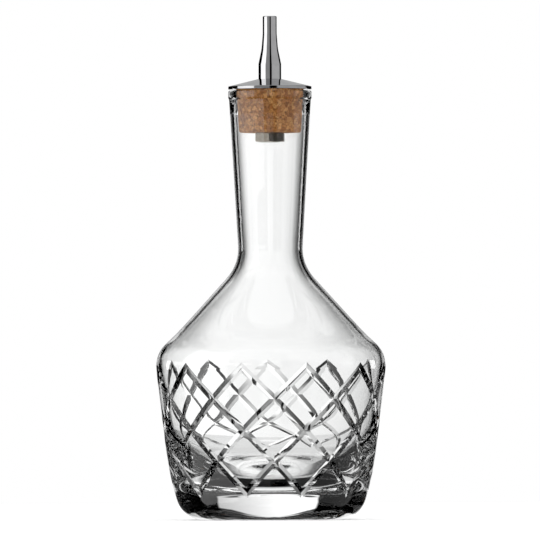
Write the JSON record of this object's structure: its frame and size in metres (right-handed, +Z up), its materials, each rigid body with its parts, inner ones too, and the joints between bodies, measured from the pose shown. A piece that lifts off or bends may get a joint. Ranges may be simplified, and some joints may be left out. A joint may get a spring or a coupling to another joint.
{
  "type": "bitters bottle",
  "caption": "Clear glass bitters bottle with a lattice of V cuts round its belly, a long neck and a cork stopper that carries a metal dasher spout",
  "frame": {"origin": "The middle of the base plane that the bottle stands on", "axes": "+Z runs up the axis of the bottle to the spout, and -Y faces the viewer of the picture"},
  "size_m": [0.0657, 0.0657, 0.144],
  "materials": {
    "clear_glass": "clear, fire polished, with cut facets",
    "cork": "agglomerated cork, dry and unsealed",
    "plated_metal": "turned and bright plated",
    "steel": "bright turned steel"
  },
  "bodies": {
    "bottle": {"glass_bottle": "clear_glass"},
    "stopper": {"cork_stopper": "cork", "cap_disc": "plated_metal", "dasher_spout": "plated_metal", "clamp_nut": "steel"}
  },
  "joints": [
    {"name": "stopper_lift", "type": "slide", "parent": "bottle", "child": "stopper", "axis": [0, 0, 1], "range_m": [0, 0.04]}
  ]
}
